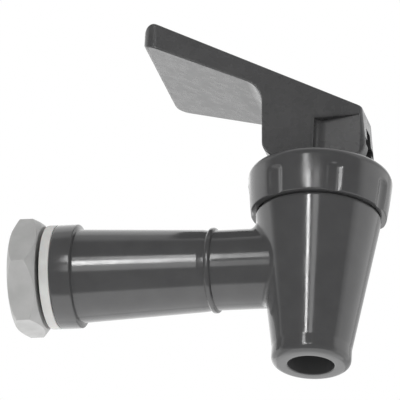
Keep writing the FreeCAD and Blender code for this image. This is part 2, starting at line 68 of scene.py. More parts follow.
# The shank, along -X from the cone's axis
SHANK_HEIGHT = 26.9
SHANK_RADIUS = 10.0
SHANK_BORE = 7.0
JUNCTION_ROUNDING = 1.9
BEAD_PLACE = 25.7
BEAD_WIDTH = 1.6
BEAD_DEPTH = 0.7
BEAD_SLOPE = 0.25
PIPE_START = BEAD_PLACE - BEAD_WIDTH / 2 - 3
SLEEVE_START = 28.3
SLEEVE_START_RADIUS = 10.25
SLEEVE_END = 59.8
SLEEVE_END_RADIUS = 11.7
FLANGE_START = 60.05
FLANGE_RADIUS = 13.0
FLANGE_END = 65.4
STUB_RADIUS = 9.4
STUB_END = 76.0
THREAD_PITCH = 1.8
THREAD_DEPTH = 0.55
THREAD_START = FLANGE_END + 0.6
THREAD_END = STUB_END - 0.5
THREAD_FADE_IN = 1.2
THREAD_FADE_OUT = 0.8
THREAD_ROWS = 90

# The bonnet cap
CAP_BOTTOM = 40.4
CAP_TOP = 51.8
CAP_FOOT = 17.0
CAP_WIDEST = 18.0
CAP_SHOULDER = 49.6
CAP_SHOULDER_WIDTH = 1.85
CAP_BORE = 15.45
CAP_CEILING = 46.0
POCKET_CEILING = 49.0
POCKET_RADIUS = 7.2
STEM_GUIDE = 3.55
FLUTES = 7
FLUTE_FIRST = -66.0
FLUTE_RADIUS = 3.7
FLUTE_DEPTH = 0.7
FLUTE_LENGTH = 7.1
FLUTE_END = 1.3
FLUTE_BLEND = 0.45
CAP_SIDE_BULGE = 0.12
CAP_COLUMNS = 630
CAP_ROW_HEIGHT = 0.2

# The handle, which lies along -X over the shank
HUB_FOOT = 52.1
PIN_HEIGHT = 58.6
PIN_HOLE = 1.35
PIN_SOCKET = 4.8
LIFT_PER_RADIAN = 7.5
HEEL_RADIUS = 7.82
HANDLE_TIP = -43.15
HANDLE_REAR = 10.95
HANDLE_REAR_TOP = 67.5
HANDLE_PITCH = math.radians(20.7)
UNDERSIDE_PITCH = math.radians(18.25)
TIP_THICKNESS = 6.92
TIP_HALF_WIDTH = 20.1
REAR_HALF_WIDTH = 6.2
TIP_TOP_ROUNDING = 2.45
TIP_UNDERSIDE_ROUNDING = 1.8
PADDLE_CORNER = 3.0
PADDLE_ROOT = 6.0
HUB_FRONT = 12.6
HUB_FRONT_LEAN = 0.9
HUB_FRONT_ROUNDING = 3.8
HUB_REAR = 12.25
HUB_REAR_ROUNDING = 5.5
CHEEK_START = -0.3
CHEEK_TOP = 63.55
CHEEK_TOP_RISE = 0.15
CHEEK_CORNER = 2.4
SLOT_HALF_WIDTH = 2.3
SLOT_FRONT = -8.3
SLOT_TOP = 63.1
SNAP_OPENING = 1.05
PIN_SIDES = 48
REAR_ROUNDING = 0.9
PADDLE_ROUNDING = 0.35
LEDGE_ROUNDING = 0.8
EDGE_REACH = 0.2

# Places that lie clear of the handle on each side, for the tools that cut it
BEYOND_HUB = HUB_REAR + 2
WIDE_OF_HANDLE = 30.0
BELOW_HANDLE = 40.0
ABOVE_HANDLE = 100.0

# Edges above this angle, in radians, are rounded. Small and narrow faces are shaded smooth.
SHARP_ANGLE = 0.6
SMALL_FACE = 4.0
NARROW_FACE = 2.0


# Outlines and meshes


def swing(first, final, steps):
    """Vectors that turn from one to another in equal steps."""
    turn = first.angle(final)
    out = []
    for k in range(steps + 1):
        share = k / steps
        a = math.sin((1 - share) * turn) / math.sin(turn)
        b = math.sin(share * turn) / math.sin(turn)
        out.append(first * a + final * b)
    return out


def rounded(corners, steps=6):
    """An open outline with its corners rounded. A corner is (radius, height, rounding)."""
    points = []
    last = len(corners) - 1
    for i, (r, z, rounding) in enumerate(corners):
        here = Vector((r, z))
        if i in (0, last) or rounding <= 0:
            points.append(here)
            continue
        back = (Vector(corners[i - 1][:2]) - here).normalized()
        ahead = (Vector(corners[i + 1][:2]) - here).normalized()
        half = back.angle(ahead) / 2
        reach = rounding / math.tan(half)
        centre = here + (back + ahead).normalized() * (rounding / math.sin(half))
        first = here + back * reach - centre
        final = here + ahead * reach - centre
        points += [centre + way for way in swing(first, final, steps)]
    return points


def split(points, longest):
    """The same outline with no step longer than longest."""
    out = [points[0]]
    for a, b in zip(points, points[1:]):
        n = max(1, math.ceil((b - a).length / longest))
        out += [a.lerp(b, k / n) for k in range(1, n + 1)]
    return out


def about_z(radius, angle, height):
    return Vector((radius * math.cos(angle), radius * math.sin(angle), height))


def about_shank(radius, angle, reach):
    """A point on the shank: angle 0 is up, reach is the distance from the cone's axis."""
    return Vector((-reach, radius * math.sin(angle), SHANK_HEIGHT + radius * math.cos(angle)))


class Shell:
    """Rows of points that become one closed mesh, with doubled points merged."""

    def __init__(self):
        self.mesh = bmesh.new()

    def strip(self, first, second, ring=True):
        n = len(first)
        a = [self.mesh.verts.new(p * MM) for p in first]
        b = [self.mesh.verts.new(p * MM) for p in second]
        for i in range(n if ring else n - 1):
            j = (i + 1) % n
            self.mesh.faces.new((a[i], a[j], b[j], b[i]))

    def rows(self, rows, ring=True):
        for first, second in zip(rows, rows[1:]):
            self.strip(first, second, ring)

    def finish(self, name, sharp=32.0):
        bm = self.mesh
        bmesh.ops.remove_doubles(bm, verts=bm.verts, dist=0.002 * MM)
        bmesh.ops.dissolve_degenerate(bm, dist=0.001 * MM, edges=bm.edges)
        bmesh.ops.recalc_face_normals(bm, faces=bm.faces)
        return piece(name, bm, sharp)


def piece(name, bm, sharp):
    """A linked object from a bmesh, smooth but for edges sharper than the given angle."""
    mesh = bpy.data.meshes.new(name)
    for face in bm.faces:
        face.smooth = True
    for edge in bm.edges:
        if len(edge.link_faces) == 2:
            edge.smooth = edge.calc_face_angle() < math.radians(sharp)
    bm.to_mesh(mesh)
    bm.free()
    thing = bpy.data.objects.new(name, mesh)
    bpy.context.scene.collection.objects.link(thing)
    return thing


# Valve body

BRANCH_HALF_ANGLE = math.radians(64)
BRANCH_SIDE = 44
BRANCH_RINGS = 8
CONE_REST = 132
CONE_SLOPE = (CONE_TOP - CONE_FOOT) / (CONE_TOP_HEIGHT - LIP_HEIGHT - LIP_STEP)

branch_columns = [
    math.pi - BRANCH_HALF_ANGLE + 2 * BRANCH_HALF_ANGLE * i / BRANCH_SIDE
    for i in range(BRANCH_SIDE + 1)
]
rest_columns = [
    math.pi + BRANCH_HALF_ANGLE + (2 * math.pi - 2 * BRANCH_HALF_ANGLE) * i / CONE_REST
    for i in range(1, CONE_REST)
]
cone_columns = branch_columns + rest_columns
shank_columns = [
    math.pi / 2 * (i / BRANCH_SIDE - 0.5) for i in range(4 * BRANCH_SIDE)
]


def outer_cone(z):
    return CONE_FOOT + CONE_SLOPE * (z - LIP_HEIGHT - LIP_STEP)


CHAMBER_FOOT = outer_cone(SEAT_HEIGHT) - WALL
CHAMBER_FOOT_HEIGHT = SEAT_HEIGHT - SEAT_RIM_DEPTH


def chamber(z):
    slope = (NECK_RADIUS - WALL - CHAMBER_FOOT) / (CONE_TOP_HEIGHT - CHAMBER_FOOT_HEIGHT)
    return CHAMBER_FOOT + slope * (z - CHAMBER_FOOT_HEIGHT)


def branch(shell, cone_radius, hole, low, high):
    """The cone's wall between two heights, with a hole where the shank leaves it.

    hole lists (angle, height) of the hole's edge, one for each of the shank's columns,
    and starts at the top left corner of the rectangle around it.
    """
    side = BRANCH_SIDE
    heights = [low + (high - low) * i / side for i in range(side + 1)]
    frame_edge = [(a, high) for a in branch_columns[::-1][:-1]]
    frame_edge += [(branch_columns[0], z) for z in heights[::-1][:-1]]
    frame_edge += [(a, low) for a in branch_columns[:-1]]
    frame_edge += [(branch_columns[-1], z) for z in heights[:-1]]
    rows = []
    for k in range(BRANCH_RINGS + 1):
        share = k / BRANCH_RINGS
        row = []
        for (a0, z0), (a1, z1) in zip(hole, frame_edge):
            angle = a0 + (a1 - a0) * share
            z = z0 + (z1 - z0) * share
            row.append(about_z(cone_radius(z), angle, z))
        rows.append(row)
    shell.rows(rows)
    around = [branch_columns[-1]] + rest_columns + [branch_columns[0] + 2 * math.pi]
    shell.rows(
        [[about_z(cone_radius(z), a, z) for a in around] for z in heights], ring=False
    )


def turned_cone(shell, outline):
    shell.rows([[about_z(p.x, a, p.y) for a in cone_columns] for p in outline])


def turned_shank(shell, outline):
    shell.rows([[about_shank(p.x, a, p.y) for a in shank_columns] for p in outline])


def junction(shell):
    """The rounding between cone and shank, as a ball that rolls along both.

    Returns its edge on the cone as (angle, height) and its edge on the shank as points.
    """
    slant = math.atan(CONE_SLOPE)
    reach = SHANK_RADIUS + JUNCTION_ROUNDING
    on_cone, on_shank, rows = [], [], []
    for a in shank_columns:
        y = reach * math.sin(a)
        z = SHANK_HEIGHT + reach * math.cos(a)
        out = outer_cone(z) + JUNCTION_ROUNDING / math.cos(slant)
        x = -math.sqrt(out * out - y * y)
        centre = Vector((x, y, z))
        to_shank = Vector((0, -math.sin(a), -math.cos(a)))
        to_cone = -Vector((math.cos(slant) * x / out, math.cos(slant) * y / out, -math.sin(slant)))
        touch = centre + to_cone * JUNCTION_ROUNDING
        on_cone.append((math.atan2(touch.y, touch.x) % (2 * math.pi), touch.z))
        on_shank.append(centre + to_shank * JUNCTION_ROUNDING)
        rows.append([centre + way * JUNCTION_ROUNDING for way in swing(to_shank, to_cone, 10)])
    shell.rows([list(row) for row in zip(*rows)])
    return on_cone, on_shank


def cone_outside(shell, hole):
    """The cone with its hole for the shank, the outlet's mouth below it and the neck above."""
    branch(shell, outer_cone, hole, BRANCH_LOW, BRANCH_HIGH)
    lip_top = LIP_HEIGHT + LIP_STEP - (CONE_FOOT - LIP_RADIUS) / CONE_SLOPE
    mouth = rounded(
        [
            (OUTLET_BORE, SEAT_HEIGHT - BORE_OVERLAP, 0),
            (OUTLET_BORE, 0, MOUTH_ROUNDING),
            (LIP_RADIUS, 0, LIP_ROUNDING),
            (LIP_RADIUS, lip_top, LIP_BEND),
            (outer_cone(BRANCH_LOW), BRANCH_LOW, 0),
        ],
        steps=10,
    )
    turned_cone(shell, mouth)
    neck = rounded(
        [
            (outer_cone(BRANCH_HIGH), BRANCH_HIGH, 0),
            (CONE_TOP, CONE_TOP_HEIGHT, CONE_TOP_ROUNDING),
            (NECK_RADIUS, CONE_TOP_HEIGHT, 0.1),
            (NECK_RADIUS, BODY_RIM, 0.3),
            (NECK_RADIUS - WALL, BODY_RIM, FINE_ROUNDING),
            (NECK_RADIUS - WALL, CONE_TOP_HEIGHT, 0),
        ]
    )
    turned_cone(shell, neck)


def chamber_and_seat(shell):
    """The cone's inside. Returns the edge where the shank's bore enters it."""
    hole, bore_start = [], []
    for a in shank_columns:
        y = SHANK_BORE * math.sin(a)
        z = SHANK_HEIGHT + SHANK_BORE * math.cos(a)
        x = -math.sqrt(chamber(z) ** 2 - y * y)
        hole.append((math.atan2(y, x) % (2 * math.pi), z))
        bore_start.append(Vector((x, y, z)))
    low = SEAT_HEIGHT + 1
    branch(shell, chamber, hole, low, CONE_TOP_HEIGHT)
    seat_rim = OUTLET_BORE + SEAT_RIM_WIDTH
    seat = rounded(
        [
            (OUTLET_BORE, SEAT_HEIGHT - BORE_OVERLAP, 0),
            (OUTLET_BORE, SEAT_HEIGHT, FINE_ROUNDING),
            (seat_rim, SEAT_HEIGHT, FINE_ROUNDING),
            (seat_rim, CHAMBER_FOOT_HEIGHT, FINE_ROUNDING),
            (CHAMBER_FOOT, CHAMBER_FOOT_HEIGHT, FINE_ROUNDING),
            (chamber(low), low, 0),
        ]
    )
    turned_cone(shell, seat)
    return bore_start


def shank_outside(shell, start):
    """From the junction's edge over the bead ring and the sleeve to the flange."""
    bead_inner = BEAD_PLACE - BEAD_WIDTH / 2
    bead_outer = BEAD_PLACE + BEAD_WIDTH / 2
    bead_radius = SHANK_RADIUS + BEAD_DEPTH
    thread_root = STUB_RADIUS - THREAD_DEPTH
    outline = rounded(
        [
            (SHANK_RADIUS, PIPE_START, 0),
            (SHANK_RADIUS, bead_inner, FINE_ROUNDING),
            (bead_radius, bead_inner + BEAD_SLOPE, 0.5),
            (bead_radius, bead_outer - BEAD_SLOPE, 0.5),
            (SHANK_RADIUS, bead_outer, FINE_ROUNDING),
            (SLEEVE_START_RADIUS, SLEEVE_START, FINE_ROUNDING),
            (SLEEVE_END_RADIUS, SLEEVE_END, 0.25),
            (FLANGE_RADIUS, FLANGE_START, 0.3),
            (FLANGE_RADIUS, FLANGE_END, 0.5),
            (thread_root, FLANGE_END, 0.15),
            (thread_root, THREAD_START, 0),
        ],
        steps=8,
    )
    shell.rows([start, [about_shank(SHANK_RADIUS, a, PIPE_START) for a in shank_columns]])
    turned_shank(shell, outline)


def thread(shell):
    """The stub's thread, a ridge that winds along it and fades at both ends."""
    rows = []
    for i in range(THREAD_ROWS + 1):
        reach = THREAD_START + (THREAD_END - THREAD_START) * i / THREAD_ROWS
        fade = min(
            1.0, (reach - THREAD_START) / THREAD_FADE_IN, (THREAD_END - reach) / THREAD_FADE_OUT
        )
        row = []
        for a in shank_columns:
            phase = (reach / THREAD_PITCH - a / (2 * math.pi)) % 1.0
            ridge = min(1.0, max(0.0, 1.6 - abs(phase - 0.5) * 4.0))
            radius = STUB_RADIUS - THREAD_DEPTH * (1 - ridge * max(0.0, fade))
            row.append(about_shank(radius, a, reach))
        rows.append(row)
    shell.rows(rows)


def shank_inside(shell, bore_start):
    """The stub's end face and the bore, back to where it enters the chamber."""
    thread_root = STUB_RADIUS - THREAD_DEPTH
    outline = rounded(
        [
            (thread_root, THREAD_END, 0),
            (thread_root, STUB_END, 0.35),
            (SHANK_BORE, STUB_END, 0.3),
            (SHANK_BORE, STUB_END - BORE_OVERLAP, 0),
            (SHANK_BORE, PIPE_START, 0),
        ]
    )
    turned_shank(shell, outline)
    shell.rows([[about_shank(SHANK_BORE, a, PIPE_START) for a in shank_columns], bore_start])


def make_body():
    shell = Shell()
    on_cone, on_shank = junction(shell)
    cone_outside(shell, on_cone)
    bore_start = chamber_and_seat(shell)
    shank_outside(shell, on_shank)
    thread(shell)
    shank_inside(shell, bore_start)
    return shell.finish("faucet_body_finish")


# Bonnet cap


def flute_radius(angle, radius, z):
    """How far out the cap's surface lies where a flute cuts it, or None outside one."""
    lean = math.atan((CAP_WIDEST - CAP_FOOT) / (CAP_SHOULDER - CAP_BOTTOM))
    step = 2 * math.pi / FLUTES
    off = (angle - math.radians(FLUTE_FIRST) + step / 2) % step - step / 2
    centre = CAP_FOOT - FLUTE_DEPTH + FLUTE_RADIUS
    up = z - CAP_BOTTOM
    along = (radius * math.cos(off) - centre) * math.sin(lean) + up * math.cos(lean)
    past = (along - (FLUTE_LENGTH - FLUTE_END)) / FLUTE_END
    if past >= 1:
        return None
    size = FLUTE_RADIUS
    if past > 0:
        size -= FLUTE_END * (1 - math.sqrt(1 - past * past))
    k = centre * math.cos(lean) + up * math.sin(lean)
    a = (math.cos(off) * math.cos(lean)) ** 2 + math.sin(off) ** 2
    b = -2 * k * math.cos(off) * math.cos(lean)
    c = k * k - size * size
    inside = b * b - 4 * a * c
    if inside <= 0:
        return None
    return (-b - math.sqrt(inside)) / (2 * a)


def softer_least(a, b, width):
    """The smaller of two lengths, blended where they are nearly equal."""
    near = max(width - abs(a - b), 0.0)
    return min(a, b) - near * near / (4 * width)


def make_cap():
    shell = Shell()
    columns = [2 * math.pi * i / CAP_COLUMNS for i in range(CAP_COLUMNS)]
    side = split(
        rounded(
            [
                (CAP_BORE, CAP_BOTTOM, 0),
                (CAP_FOOT, CAP_BOTTOM, 0.3),
                (CAP_WIDEST, CAP_SHOULDER, 0),
            ]
        ),
        CAP_ROW_HEIGHT,
    )
    for point in side:
        if point.x > CAP_FOOT:
            share = (point.y - CAP_BOTTOM) / (CAP_SHOULDER - CAP_BOTTOM)
            point.x += CAP_SIDE_BULGE * 4 * share * (1 - share)
    shoulder = [
        Vector(
            (
                CAP_WIDEST - CAP_SHOULDER_WIDTH * (1 - math.cos(t)),
                CAP_SHOULDER + (CAP_TOP - CAP_SHOULDER) * math.sin(t),
            )
        )
        for t in [math.pi / 2 * k / 12 for k in range(1, 13)]
    ]
    rows = []
    for p in side + shoulder:
        row = []
        for angle in columns:
            fluted = flute_radius(angle, p.x, p.y)
            radius = p.x if fluted is None else softer_least(p.x, fluted, FLUTE_BLEND)
            row.append(about_z(max(radius, CAP_BORE), angle, p.y))
        rows.append(row)
    shell.rows(rows)
    rest = rounded(
        [
            (CAP_WIDEST - CAP_SHOULDER_WIDTH, CAP_TOP, 0),
            (STEM_GUIDE, CAP_TOP, 0.3),
            (STEM_GUIDE, POCKET_CEILING, 0),
            (POCKET_RADIUS, POCKET_CEILING, 0),
            (POCKET_RADIUS, CAP_CEILING, 0.3),
            (CAP_BORE, CAP_CEILING, 0),
            (CAP_BORE, CAP_BOTTOM, 0),
        ]
    )
    shell.rows([[about_z(p.x, a, p.y) for a in columns] for p in rest])
    return shell.finish("bonnet_cap_finish", sharp=40)


# Handle: the paddle's plan and the side view cut to each other, then the cheeks and slot


def arc(centre, radius, first, last, steps):
    """Points of an arc in a flat outline, from one angle to another in degrees."""
    turns = [math.radians(first + (last - first) * k / steps) for k in range(steps + 1)]
    return [
        Vector((centre[0] + radius * math.cos(t), centre[1] + radius * math.sin(t))) for t in turns
    ]


def side_view():
    """The handle's outline in X and Z, anticlockwise from its rear top corner."""
    tip_top = HANDLE_REAR_TOP + (HANDLE_REAR - HANDLE_TIP) * math.tan(HANDLE_PITCH)
    tip_bottom = tip_top - TIP_THICKNESS
    front = -HUB_FRONT - HUB_FRONT_LEAN
    front_top = tip_bottom - (front - HANDLE_TIP) * math.tan(UNDERSIDE_PITCH)
    heel = Vector((-LIFT_PER_RADIAN, HUB_FOOT + HEEL_RADIUS))
    reach = HUB_FRONT - LIFT_PER_RADIAN
    heel_end = Vector((-HUB_FRONT, heel.y - math.sqrt(HEEL_RADIUS**2 - reach**2)))

    # The ball of the heel's corner touches the hub's front and the heel's arc from inside
    down = (heel_end - Vector((front, front_top))).normalized()
    inward = Vector((-down.y, down.x))
    start = heel_end + inward * HUB_FRONT_ROUNDING - heel
    half = start.dot(down)
    inside = HEEL_RADIUS - HUB_FRONT_ROUNDING
    slide = math.sqrt(half * half - start.dot(start) + inside * inside) - half
    centre = heel + start + down * slide
    toward = (centre - heel).normalized()
    first = math.degrees(math.atan2(-inward.y, -inward.x)) % 360
    last = math.degrees(math.atan2(toward.y, toward.x)) % 360
    hub_rear = (HUB_REAR - HUB_REAR_ROUNDING, HUB_FOOT + HUB_REAR_ROUNDING)

    points = rounded(
        [
            (HANDLE_REAR, HANDLE_REAR_TOP, 0),
            (HANDLE_TIP, tip_top, TIP_TOP_ROUNDING),
            (HANDLE_TIP, tip_bottom, TIP_UNDERSIDE_ROUNDING),
            (front, front_top, PADDLE_ROOT),
            (*(centre - inward * HUB_FRONT_ROUNDING), 0),
        ],
        steps=10,
    )
    points += arc(centre, HUB_FRONT_ROUNDING, first, last, 8)[1:]
    points += arc(heel, HEEL_RADIUS, last, 270, 6)[1:]
    points += arc(hub_rear, HUB_REAR_ROUNDING, 270, 360, 12)
    return points


def plan_view():
    """The handle's outline in X and Y."""
    spread = (TIP_HALF_WIDTH - REAR_HALF_WIDTH) / (HANDLE_REAR - HANDLE_TIP)
    beyond_hub = HUB_REAR + 1
    width = REAR_HALF_WIDTH - spread * (beyond_hub - HANDLE_REAR)
    return rounded(
        [
            (beyond_hub, -width, 0),
            (HANDLE_TIP, -TIP_HALF_WIDTH, PADDLE_CORNER),
            (HANDLE_TIP, TIP_HALF_WIDTH, PADDLE_CORNER),
            (beyond_hub, width, 0),
        ],
        steps=10,
    )


def prism(name, outline, place):
    """A closed solid between two copies of an outline. place(point, end) gives a corner."""
    bm = bmesh.new()
    ends = [[bm.verts.new(place(p, end) * MM) for p in outline] for end in (0, 1)]
    bm.faces.new(ends[0][::-1])
    bm.faces.new(ends[1])
    for i in range(len(outline)):
        j = (i + 1) % len(outline)
        bm.faces.new((ends[0][i], ends[0][j], ends[1][j], ends[1][i]))
    bmesh.ops.recalc_face_normals(bm, faces=bm.faces)
    return piece(name, bm, 30)


def across(reach):
    """How prism places an outline in X and Z between two places in Y."""
    return lambda p, end: Vector((p.x, reach[end], p.y))


def upward(reach):
    """How prism places an outline in X and Y between two heights."""
    return lambda p, end: Vector((p.x, p.y, reach[end]))


def cut(thing, tool, operation="DIFFERENCE"):
    """Cut one object with another and delete the tool."""
    step = thing.modifiers.new("cut", "BOOLEAN")
    step.operation = operation
    step.solver = "EXACT"
    step.object = tool
    bpy.context.view_layer.update()
    ready = thing.evaluated_get(bpy.context.evaluated_depsgraph_get())
    mesh = bpy.data.meshes.new_from_object(ready)
    thing.modifiers.clear()
    thing.data = mesh
    bpy.data.objects.remove(tool)


def box(name, x, y, z):
    corners = [Vector((x[i], y[j])) for i, j in ((0, 0), (1, 0), (1, 1), (0, 1))]
    return prism(name, corners, upward(z))


def joined_up(mesh, merge, flat):
    """A bmesh with points closer than merge made one and faces within flat degrees joined."""
    bm = bmesh.new()
    bm.from_mesh(mesh)
    bmesh.ops.remove_doubles(bm, verts=bm.verts, dist=merge * MM)
    bmesh.ops.dissolve_limit(
        bm, angle_limit=math.radians(flat), use_dissolve_boundaries=False, verts=bm.verts,
        edges=bm.edges,
    )
    return bm


def bevel(bm, edges, rounding, steps, clamp):
    bmesh.ops.bevel(
        bm, geom=edges, offset=rounding * MM, offset_type="OFFSET", segments=steps, profile=0.5,
        affect="EDGES", clamp_overlap=clamp,
    )


def even_shading(thing):
    weighted = thing.modifiers.new("even_shading", "WEIGHTED_NORMAL")
    weighted.keep_sharp = True
    weighted.weight = 100


def round_edges(thing, rounding, wanted):
    """Round an object's sharp edges whose two ends, in millimetres, are wanted."""
    bm = joined_up(thing.data, 0.01, 0.4)
    sharp = [
        e
        for e in bm.edges
        if len(e.link_faces) == 2
        and e.calc_face_angle() > SHARP_ANGLE
        and e.is_convex
        and wanted(e.verts[0].co / MM, e.verts[1].co / MM)
    ]
    bevel(bm, sharp, rounding, 5, False)
    bm.to_mesh(thing.data)
    bm.free()


def strip_width(thing, face):
    """A face's area over its longest edge, which is small for a strip."""
    corners = [thing.data.vertices[i].co for i in face.vertices]
    longest = max((a - b).length for a, b in zip(corners, corners[1:] + corners[:1]))
    return face.area / longest


def cut_recesses(handle):
    """The step on each side of the hub, down to the cheeks and up to the ledge."""
    for side in (-1, 1):
        recess = rounded(
            [
                (BEYOND_HUB, side * REAR_HALF_WIDTH, 0),
                (CHEEK_START, side * REAR_HALF_WIDTH, CHEEK_CORNER),
                (CHEEK_START, side * WIDE_OF_HANDLE, 0),
                (BEYOND_HUB, side * WIDE_OF_HANDLE, 0),
            ],
            steps=8,
        )

        def under_ledge(p, end):
            ledge = CHEEK_TOP + CHEEK_TOP_RISE * (p.x - CHEEK_START)
            return Vector((p.x, p.y, ledge if end else BELOW_HANDLE))

        cut(handle, prism("recess", recess, under_ledge))

    out, inner = REAR_HALF_WIDTH + EDGE_REACH, CHEEK_START - EDGE_REACH
    round_edges(
        handle, LEDGE_ROUNDING,
        lambda a, b: max(abs(a.y), abs(b.y)) > out and min(a.x, b.x) > inner,
    )


def cut_yoke(handle):
    """The slot for the stem's head, the pin's way in from behind and its socket."""
    wide = (-SLOT_HALF_WIDTH, SLOT_HALF_WIDTH)
    cut(handle, box("slot", (SLOT_FRONT, BEYOND_HUB), wide, (BELOW_HANDLE, SLOT_TOP)))
    deep = (-PIN_SOCKET, PIN_SOCKET)
    snap = (PIN_HEIGHT - SNAP_OPENING, PIN_HEIGHT + SNAP_OPENING)
    cut(handle, box("way_in", (0, BEYOND_HUB), deep, snap))
    ring = arc((0, PIN_HEIGHT), PIN_HOLE, 0, 360, PIN_SIDES)[:-1]
    cut(handle, prism("socket", ring, across(deep)))


def make_handle():
    handle = prism("lever_handle_finish", side_view(), across((WIDE_OF_HANDLE, -WIDE_OF_HANDLE)))
    cut(handle, prism("plan", plan_view(), upward((BELOW_HANDLE, ABOVE_HANDLE))), "INTERSECT")
    rear = HANDLE_REAR - 0.05
    round_edges(
        handle, REAR_ROUNDING, lambda a, b: min(a.x, b.x) > rear and abs(a.y - b.y) < 1
    )
    round_edges(handle, PADDLE_ROUNDING, lambda a, b: True)
    cut_recesses(handle)
    cut_yoke(handle)

    bm = joined_up(handle.data, 0.002, 0.2)
    bpy.data.objects.remove(handle)
    handle = piece("lever_handle_finish", bm, 35)
    for face in handle.data.polygons:
        small = face.area < SMALL_FACE * MM * MM
        face.use_smooth = small or strip_width(handle, face) < NARROW_FACE * MM
    even_shading(handle)
    return handle


# Pieces that keep the CAD's form and get rounded edges


def softened(node, rounding, steps=3, angle=20.0):
    """A copy of a CAD node, its flat faces joined up and its edges rounded."""
    bm = joined_up(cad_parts[node].data, 0.001, 0.5)
    edges = [
        e
        for e in bm.edges
        if len(e.link_faces) == 2 and e.calc_face_angle() > math.radians(angle)
    ]
    bevel(bm, edges, rounding, steps, True)
    bmesh.ops.recalc_face_normals(bm, faces=bm.faces)
    thing = piece(f"{node}_finish", bm, 50)
    even_shading(thing)
    return thing


# Materials


def node_material(name):
    material = bpy.data.materials.new(name)
    material.use_nodes = True
    nodes, links = material.node_tree.nodes, material.node_tree.links
    nodes.clear()
    out = nodes.new("ShaderNodeOutputMaterial")
    shader = nodes.new("ShaderNodeBsdfPrincipled")
    links.new(shader.outputs[0], out.inputs[0])
    where = nodes.new("ShaderNodeTexCoord")
    return material, nodes, links, shader, where


def noise(nodes, links, where, scale, detail=3.0, roughness=0.5):
    """Noise in the object's own space. scale is in features per metre."""
    texture = nodes.new("ShaderNodeTexNoise")
    texture.inputs["Scale"].default_value = scale
    texture.inputs["Detail"].default_value = detail
    texture.inputs["Roughness"].default_value = roughness
    links.new(where.outputs["Object"], texture.inputs["Vector"])
    return texture.outputs["Fac"]


def ramp(nodes, links, source, low, high):
    """Map the middle of a factor's range onto two greys or colours."""
    node = nodes.new("ShaderNodeValToRGB")
    for stop, place, value in zip(node.color_ramp.elements, (0.35, 0.65), (low, high)):
        stop.position = place
        stop.color = (*value, 1) if isinstance(value, tuple) else (value, value, value, 1)
    links.new(source, node.inputs[0])
    return node.outputs[0]


def bump(nodes, links, height, strength, distance, under=None):
    node = nodes.new("ShaderNodeBump")
    node.inputs["Strength"].default_value = strength
    node.inputs["Distance"].default_value = distance
    links.new(height, node.inputs["Height"])
    if under is not None:
        links.new(under, node.inputs["Normal"])
    return node.outputs[0]


def moulded(name, low, high, rough_low, rough_high, grain, waviness=0.3):
    """Moulded plastic: faint clouding, uneven gloss, fine grain and slow waviness."""
    material, nodes, links, shader, where = node_material(name)
    cloud = noise(nodes, links, where, 160, 4)
    links.new(ramp(nodes, links, cloud, low, high), shader.inputs["Base Color"])
    patches = noise(nodes, links, where, 420, 3)
    links.new(ramp(nodes, links, patches, rough_low, rough_high), shader.inputs["Roughness"])
    shader.inputs["IOR"].default_value = 1.5
    waves = bump(nodes, links, noise(nodes, links, where, 110, 1), waviness, 0.0002)
    fine = bump(nodes, links, noise(nodes, links, where, 3200, 2), grain, 0.00004, waves)
    links.new(fine, shader.inputs["Normal"])
    return material


def rubber(name):
    material, nodes, links, shader, where = node_material(name)
    cloud = noise(nodes, links, where, 240, 4)
    links.new(
        ramp(nodes, links, cloud, (0.5, 0.5, 0.485), (0.57, 0.57, 0.555)),
        shader.inputs["Base Color"],
    )
    shader.inputs["Roughness"].default_value = 0.55
    shader.inputs["Subsurface Weight"].default_value = 0.08
    shader.inputs["Subsurface Scale"].default_value = 0.001
    grain = noise(nodes, links, where, 4200, 2)
    links.new(bump(nodes, links, grain, 0.25, 0.00004), shader.inputs["Normal"])
    return material


def silicone(name):
    material, nodes, links, shader, where = node_material(name)
    cloud = noise(nodes, links, where, 200, 3)
    links.new(
        ramp(nodes, links, cloud, (0.6, 0.6, 0.58), (0.68, 0.68, 0.66)),
        shader.inputs["Base Color"],
    )
    shader.inputs["Roughness"].default_value = 0.32
    shader.inputs["Subsurface Weight"].default_value = 0.3
    shader.inputs["Subsurface Scale"].default_value = 0.002
    return material


def drawn_steel(name):
    material, nodes, links, shader, where = node_material(name)
    stretch = nodes.new("ShaderNodeMapping")
    stretch.inputs["Scale"].default_value = (1.0, 0.08, 1.0)
    links.new(where.outputs["Object"], stretch.inputs["Vector"])
    lines = nodes.new("ShaderNodeTexNoise")
    lines.inputs["Scale"].default_value = 2600
    lines.inputs["Detail"].default_value = 3
    links.new(stretch.outputs[0], lines.inputs["Vector"])
    fac = lines.outputs["Fac"]
    links.new(ramp(nodes, links, fac, 0.5, 0.62), shader.inputs["Base Color"])
    links.new(ramp(nodes, links, fac, 0.22, 0.36), shader.inputs["Roughness"])
    shader.inputs["Metallic"].default_value = 1.0
    links.new(bump(nodes, links, fac, 0.2, 0.00002), shader.inputs["Normal"])
    return material


black = moulded("black_plastic", (0.062, 0.062, 0.063), (0.07, 0.07, 0.071), 0.11, 0.16, 0.1, 0.12)
cap_black = moulded("cap_plastic", (0.06, 0.06, 0.061), (0.068, 0.068, 0.069), 0.14, 0.2, 0.1, 0.12)
handle_black = moulded(
    "handle_plastic", (0.06, 0.06, 0.061), (0.068, 0.068, 0.069), 0.24, 0.32, 0.25, 0.1
)
nut_grey = moulded("nut_plastic", (0.35, 0.35, 0.345), (0.41, 0.41, 0.405), 0.36, 0.48, 0.35, 0.12)
natural = moulded("stem_plastic", (0.55, 0.55, 0.53), (0.62, 0.62, 0.6), 0.35, 0.45, 0.2)
white_rubber = rubber("white_rubber")
clear_silicone = silicone("clear_silicone")
steel = drawn_steel("steel")


def dress(thing, material):
    thing.data.materials.clear()
    thing.data.materials.append(material)


def stand_for(thing, node, body, material):
    dress(thing, material)
    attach(thing, body)
    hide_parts(node)


